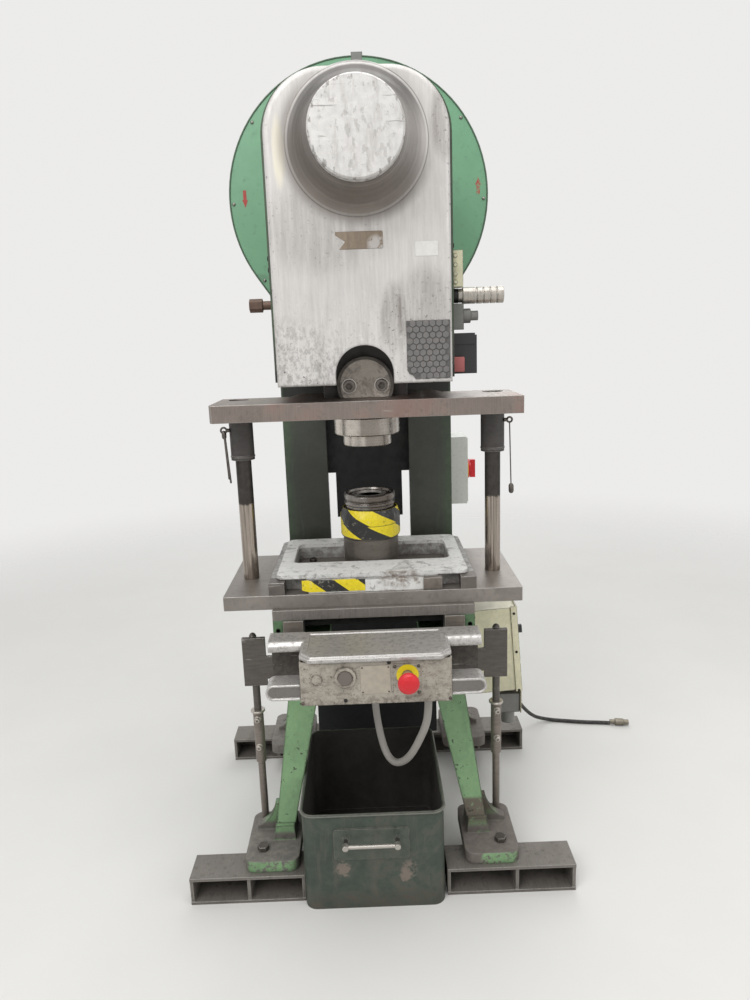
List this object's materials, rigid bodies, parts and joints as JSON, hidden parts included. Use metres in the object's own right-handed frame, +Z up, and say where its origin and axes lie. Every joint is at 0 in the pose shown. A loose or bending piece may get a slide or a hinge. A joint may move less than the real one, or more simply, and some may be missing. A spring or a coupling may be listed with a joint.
{
  "type": "mechanical stamping press",
  "caption": "Green gap-frame eccentric press on cast legs with a silver front casting, a flywheel under a round belt guard, a pillar die set, a two-hand console and a scrap bin.",
  "frame": {"origin": "on the floor, under the middle of the machine's outline", "axes": "+Z up, -Y towards the operator, +X to the operator's right"},
  "size_m": [1.2076, 0.97, 1.91],
  "materials": {
    "frame_green": "worn satin paint",
    "guard_green": "satin paint",
    "leg_green": "worn satin paint",
    "bin_green": "scratched paint",
    "silver_casting": "worn silver paint",
    "machined_steel": "machined, lightly worn",
    "pillar_steel": "ground and oily",
    "dark_steel": "dark, dusty",
    "ram_iron": "oily",
    "plain_iron": "machined casting",
    "white_paint": "worn paint",
    "cream_paint": "dusty paint",
    "console_grey": "dirty paint",
    "cover_silver": "worn silver paint",
    "grey_paint": "satin paint",
    "black_paint": "matte paint",
    "oil_brown": "tarnished",
    "bronze": "plain",
    "white_plastic": "satin",
    "black_plastic": "satin",
    "grey_plastic": "satin",
    "red_plastic": "gloss",
    "yellow_plastic": "gloss",
    "black_rubber": "matte",
    "grip_rubber": "embossed",
    "conduit_grey": "ribbed"
  },
  "bodies": {
    "press_frame": {"front_skids": "dark_steel", "rear_skid": "dark_steel", "left_leg": "leg_green", "right_leg": "leg_green", "foot_bolts": "dark_steel", "scrap_bin": "bin_green", "frame": "frame_green", "bolster": "machined_steel", "lower_die_plate": "machined_steel", "guide_pillars": "pillar_steel", "die_body": "machined_steel", "die_ring": "machined_steel", "locating_frame": "white_paint", "frame_clamps": "dark_steel", "front_casting": "silver_casting", "front_cap": "silver_casting", "bearing_bushes": "bronze", "ram_gibs": "plain_iron", "grip_pad": "grip_rubber", "brake_band": "dark_steel", "guard_front": "guard_green", "guard_cover": "guard_green", "lifting_block": "grey_paint", "motor": "grey_paint", "motor_bracket": "black_paint", "oil_pipe": "oil_brown", "side_block": "cream_paint", "adjusting_spindle": "machined_steel", "valve_block": "grey_paint", "side_switch_box": "black_plastic", "posts": "dark_steel", "post_sleeves": "dark_steel", "electrical_box": "cream_paint", "main_switch_box": "white_plastic", "air_unit": "grey_paint", "drive_belts": "black_rubber", "air_hose": "black_rubber", "hose_coupling": "oil_brown"},
    "ram_and_upper_die": {"ram": "ram_iron", "ram_cap": "ram_iron", "ram_cap_screws": "dark_steel", "top_die_plate": "machined_steel", "guide_bushes": "dark_steel", "punch": "machined_steel"},
    "crank": {"crankshaft": "machined_steel"},
    "rod": {"connecting_rod": "plain_iron", "ball_screw": "machined_steel"},
    "flywheel": {"flywheel": "plain_iron"},
    "motor_pulley": {"motor_pulley": "plain_iron"},
    "console": {"console_bracket": "dark_steel", "console_body": "console_grey", "console_cover": "cover_silver", "estop_ring": "yellow_plastic", "conduit": "conduit_grey"},
    "start_button": {"start_button": "grey_plastic"},
    "estop_button": {"estop_button": "red_plastic"},
    "left_hand_pad": {"left_hand_pad": "cover_silver"},
    "right_hand_pad": {"right_hand_pad": "cover_silver"},
    "main_switch_knob": {"main_switch_knob": "red_plastic"},
    "box_knob": {"box_knob": "black_plastic"}
  },
  "joints": [
    {"name": "crank_turn", "type": "hinge", "parent": "press_frame", "child": "crank", "pos_m": [0, 0, 1.57], "axis": [0, 1, 0], "range_deg": [0, 180]},
    {"name": "ram_stroke", "type": "slide", "parent": "press_frame", "child": "ram_and_upper_die", "axis": [0, 0, -1], "range_m": [0, 0.08]},
    {"name": "rod_pivot", "type": "hinge", "parent": "crank", "child": "rod", "pos_m": [0, -0.065, 1.61], "axis": [0, 1, 0], "range_deg": [-180, 0]},
    {"name": "flywheel_spin", "type": "hinge", "parent": "press_frame", "child": "flywheel", "pos_m": [0, 0.388, 1.57], "axis": [0, 1, 0], "continuous": true},
    {"name": "motor_pulley_spin", "type": "hinge", "parent": "press_frame", "child": "motor_pulley", "pos_m": [0, 0.384, 1.15], "axis": [0, 1, 0], "continuous": true},
    {"name": "console_height", "type": "slide", "parent": "press_frame", "child": "console", "axis": [0, 0, 1], "range_m": [-0.035, 0]},
    {"name": "left_pad_press", "type": "slide", "parent": "console", "child": "left_hand_pad", "axis": [0, 0, -1], "range_m": [0, 0.006], "stiffness_N_per_m": 3000, "springref_m": -0.006},
    {"name": "right_pad_press", "type": "slide", "parent": "console", "child": "right_hand_pad", "axis": [0, 0, -1], "range_m": [0, 0.006], "stiffness_N_per_m": 3000, "springref_m": -0.006},
    {"name": "start_button_press", "type": "slide", "parent": "console", "child": "start_button", "axis": [0, 1, 0], "range_m": [0, 0.004], "stiffness_N_per_m": 600, "springref_m": -0.002},
    {"name": "estop_press", "type": "slide", "parent": "console", "child": "estop_button", "axis": [0, 1, 0], "range_m": [0, 0.006]},
    {"name": "main_switch_turn", "type": "hinge", "parent": "press_frame", "child": "main_switch_knob", "pos_m": [0.27, 0.24, 0.854], "axis": [1, 0, 0], "range_deg": [0, 90]},
    {"name": "box_knob_turn", "type": "hinge", "parent": "press_frame", "child": "box_knob", "pos_m": [0.35887, 0.02, 0.47441], "axis": [0.9976, 0, 0.0698], "range_deg": [0, 90]}
  ],
  "couplings": [
    {"joint": "ram_stroke", "follows": "crank_turn", "m_per_rad": 0.025464},
    {"joint": "rod_pivot", "follows": "crank_turn", "ratio": -1},
    {"joint": "motor_pulley_spin", "follows": "flywheel_spin", "ratio": 5.43}
  ]
}
